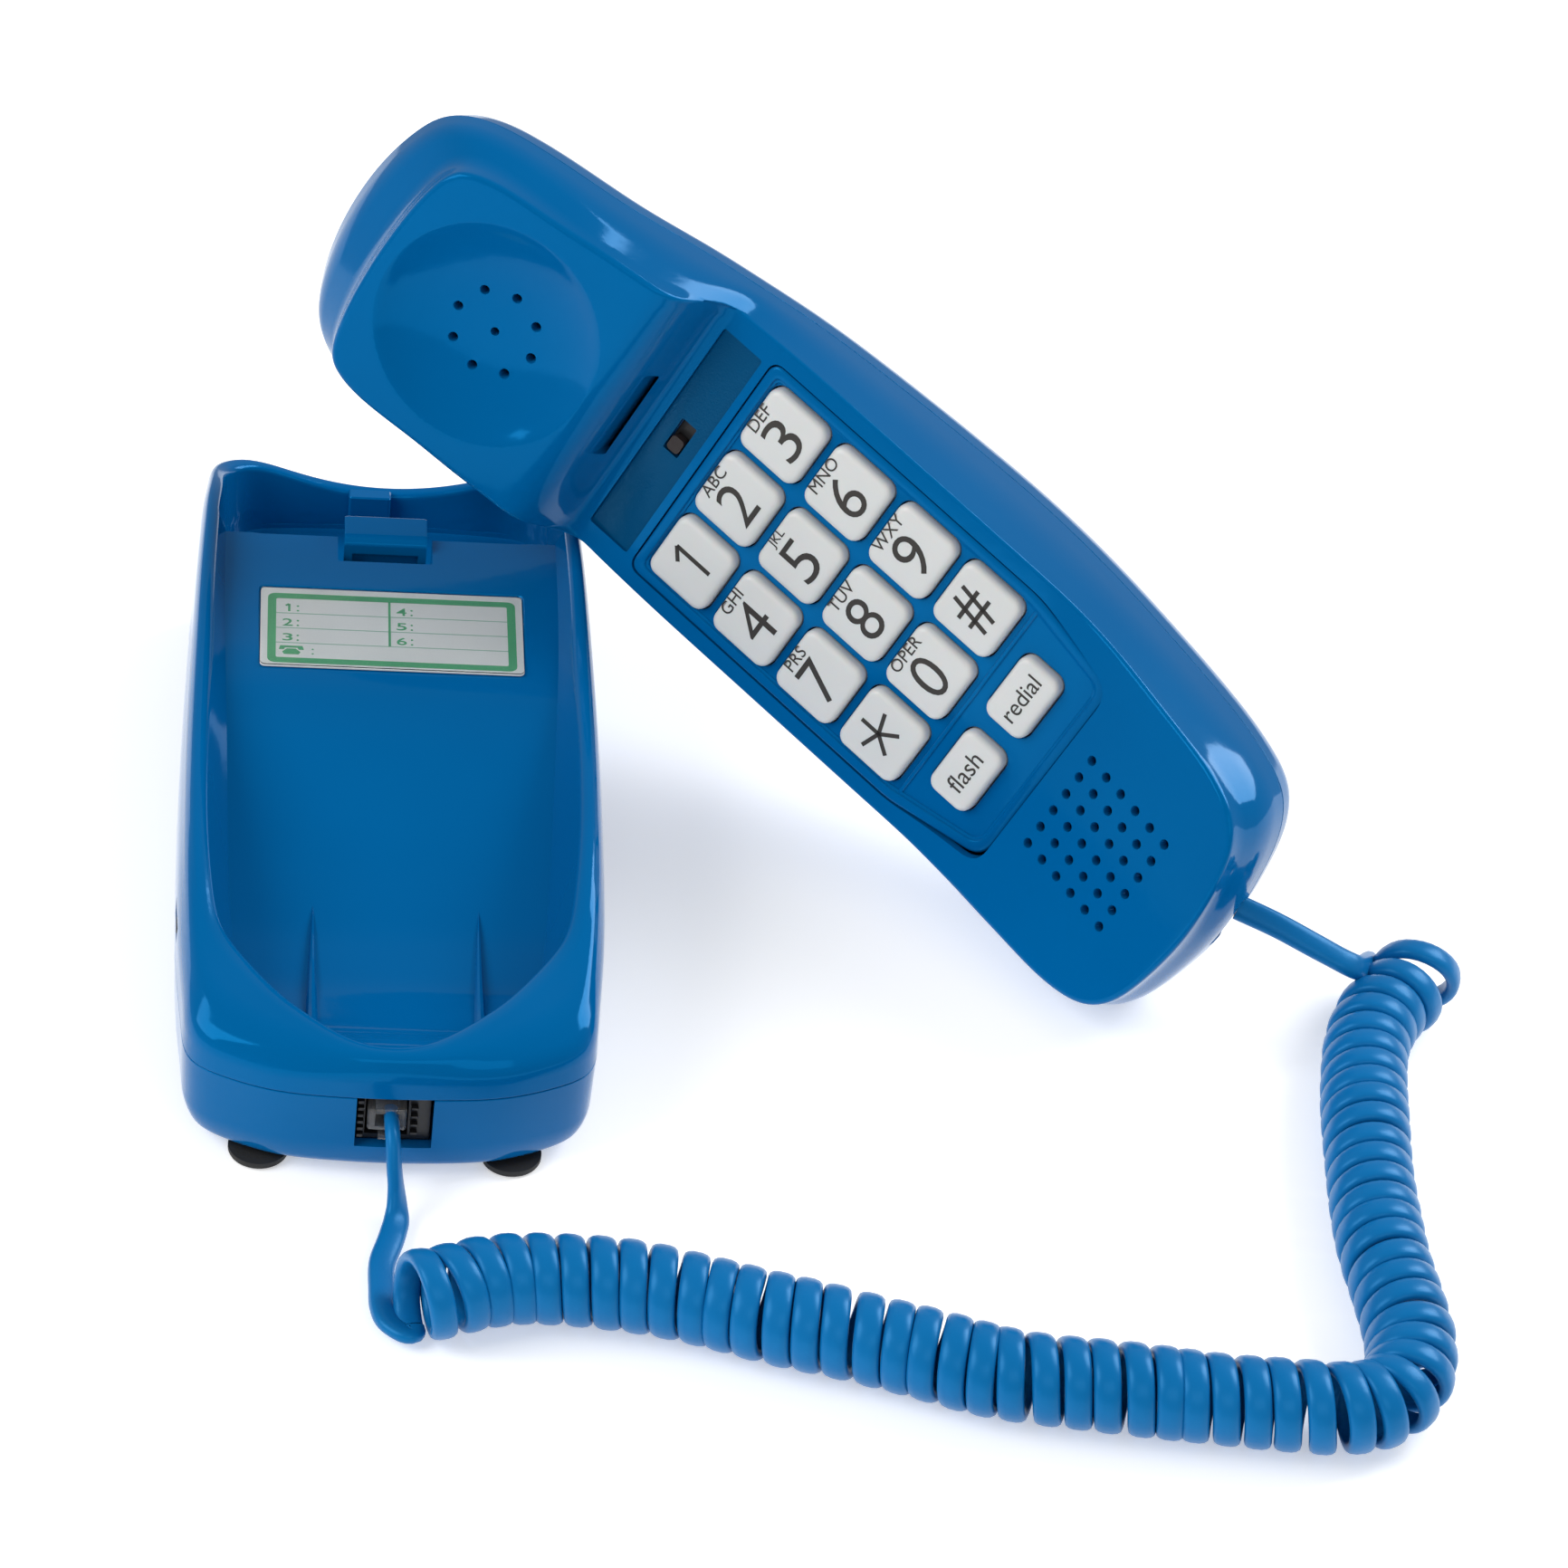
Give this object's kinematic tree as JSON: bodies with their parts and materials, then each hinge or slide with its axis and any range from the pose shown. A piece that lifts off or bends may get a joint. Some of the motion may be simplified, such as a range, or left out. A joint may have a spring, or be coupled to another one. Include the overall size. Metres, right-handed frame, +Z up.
{
  "type": "corded landline phone",
  "caption": "Compact corded desk phone: base with a cradle, hook lever and index card, handset with a big-button keypad, and a curly cord between them.",
  "frame": {"origin": "on the table, under the middle of the base and the handset", "axes": "+X across the base to its right side, +Y to the base rear, +Z up"},
  "size_m": [0.262, 0.2637, 0.1342],
  "materials": {
    "shell_blue": "glossy moulded plastic",
    "key_white": "satin moulded plastic",
    "black_rubber": "matt rubber",
    "black_plastic": "moulded plastic",
    "steel": "plated steel",
    "board_green": "solder-masked board",
    "card_paper": "printed card",
    "clear_cover": "clear sheet",
    "clear_plastic": "clear moulded plastic",
    "cord_blue": "satin cord jacket"
  },
  "bodies": {
    "base": {"base_upper_shell": "shell_blue", "base_lower_shell": "shell_blue", "foot_front_left": "black_rubber", "foot_front_right": "black_rubber", "foot_rear_left": "black_rubber", "foot_rear_right": "black_rubber", "hook_spring": "steel", "hook_switch": "black_plastic", "index_card": "card_paper", "card_cover": "clear_cover", "base_circuit_board": "board_green", "ringer_disc": "steel", "ringer_switch_body": "black_plastic", "base_jack": "black_plastic", "line_jack": "black_plastic", "base_screw_1": "steel", "base_screw_2": "steel", "base_plug": "clear_plastic", "base_lead": "cord_blue", "cord_coil_front": "cord_blue", "cord_coil_side": "cord_blue", "handset_lead": "cord_blue"},
    "handset": {"handset_front_shell": "shell_blue", "handset_back_shell": "shell_blue", "keypad_bezel": "shell_blue", "keypad_rubber_mat": "black_rubber", "keypad_circuit_board": "board_green", "receiver_capsule": "steel", "microphone_capsule": "steel", "volume_switch_body": "black_plastic", "label_panel": "shell_blue", "handset_jack": "shell_blue", "ballast_weight": "steel", "handset_plug": "clear_plastic"},
    "hook_lever": {"hook_lever": "shell_blue"},
    "volume_switch_knob": {"volume_switch_knob": "black_plastic"},
    "ringer_switch_knob": {"ringer_switch_knob": "black_plastic"},
    "key_1": {"key_1": "key_white"},
    "key_2": {"key_2": "key_white"},
    "key_3": {"key_3": "key_white"},
    "key_4": {"key_4": "key_white"},
    "key_5": {"key_5": "key_white"},
    "key_6": {"key_6": "key_white"},
    "key_7": {"key_7": "key_white"},
    "key_8": {"key_8": "key_white"},
    "key_9": {"key_9": "key_white"},
    "key_star": {"key_star": "key_white"},
    "key_0": {"key_0": "key_white"},
    "key_hash": {"key_hash": "key_white"},
    "key_flash": {"key_flash": "key_white"},
    "key_redial": {"key_redial": "key_white"}
  },
  "joints": [
    {"name": "handset_lift", "type": "slide", "parent": "base", "child": "handset", "axis": [0, 0, 1], "range_m": [0, 0.1]},
    {"name": "hook_press", "type": "hinge", "parent": "base", "child": "hook_lever", "pos_m": [-0.0689, 0.044, 0.0346], "axis": [1, 0, 0], "range_deg": [-12, 0], "stiffness_Nm_per_rad": 0.25, "springref_deg": 5.73, "deforming": ["hook_spring"]},
    {"name": "volume_slide", "type": "slide", "parent": "handset", "child": "volume_switch_knob", "axis": [0.4442, 0.0298, 0.8954], "range_m": [0, 0.0037]},
    {"name": "ringer_slide", "type": "slide", "parent": "base", "child": "ringer_switch_knob", "axis": [0, 1, 0], "range_m": [0, 0.004]},
    {"name": "key_1_press", "type": "slide", "parent": "handset", "child": "key_1", "axis": [0.5152, 0.8092, -0.2825], "range_m": [0, 0.0012], "stiffness_N_per_m": 450, "springref_m": -0.0004},
    {"name": "key_2_press", "type": "slide", "parent": "handset", "child": "key_2", "axis": [0.5152, 0.8092, -0.2825], "range_m": [0, 0.0012], "stiffness_N_per_m": 450, "springref_m": -0.0004},
    {"name": "key_3_press", "type": "slide", "parent": "handset", "child": "key_3", "axis": [0.5152, 0.8092, -0.2825], "range_m": [0, 0.0012], "stiffness_N_per_m": 450, "springref_m": -0.0004},
    {"name": "key_4_press", "type": "slide", "parent": "handset", "child": "key_4", "axis": [0.5152, 0.8092, -0.2825], "range_m": [0, 0.0012], "stiffness_N_per_m": 450, "springref_m": -0.0004},
    {"name": "key_5_press", "type": "slide", "parent": "handset", "child": "key_5", "axis": [0.5152, 0.8092, -0.2825], "range_m": [0, 0.0012], "stiffness_N_per_m": 450, "springref_m": -0.0004},
    {"name": "key_6_press", "type": "slide", "parent": "handset", "child": "key_6", "axis": [0.5152, 0.8092, -0.2825], "range_m": [0, 0.0012], "stiffness_N_per_m": 450, "springref_m": -0.0004},
    {"name": "key_7_press", "type": "slide", "parent": "handset", "child": "key_7", "axis": [0.5152, 0.8092, -0.2825], "range_m": [0, 0.0012], "stiffness_N_per_m": 450, "springref_m": -0.0004},
    {"name": "key_8_press", "type": "slide", "parent": "handset", "child": "key_8", "axis": [0.5152, 0.8092, -0.2825], "range_m": [0, 0.0012], "stiffness_N_per_m": 450, "springref_m": -0.0004},
    {"name": "key_9_press", "type": "slide", "parent": "handset", "child": "key_9", "axis": [0.5152, 0.8092, -0.2825], "range_m": [0, 0.0012], "stiffness_N_per_m": 450, "springref_m": -0.0004},
    {"name": "key_star_press", "type": "slide", "parent": "handset", "child": "key_star", "axis": [0.5152, 0.8092, -0.2825], "range_m": [0, 0.0012], "stiffness_N_per_m": 450, "springref_m": -0.0004},
    {"name": "key_0_press", "type": "slide", "parent": "handset", "child": "key_0", "axis": [0.5152, 0.8092, -0.2825], "range_m": [0, 0.0012], "stiffness_N_per_m": 450, "springref_m": -0.0004},
    {"name": "key_hash_press", "type": "slide", "parent": "handset", "child": "key_hash", "axis": [0.5152, 0.8092, -0.2825], "range_m": [0, 0.0012], "stiffness_N_per_m": 450, "springref_m": -0.0004},
    {"name": "key_flash_press", "type": "slide", "parent": "handset", "child": "key_flash", "axis": [0.5152, 0.8092, -0.2825], "range_m": [0, 0.0012], "stiffness_N_per_m": 450, "springref_m": -0.0004},
    {"name": "key_redial_press", "type": "slide", "parent": "handset", "child": "key_redial", "axis": [0.5152, 0.8092, -0.2825], "range_m": [0, 0.0012], "stiffness_N_per_m": 450, "springref_m": -0.0004}
  ]
}
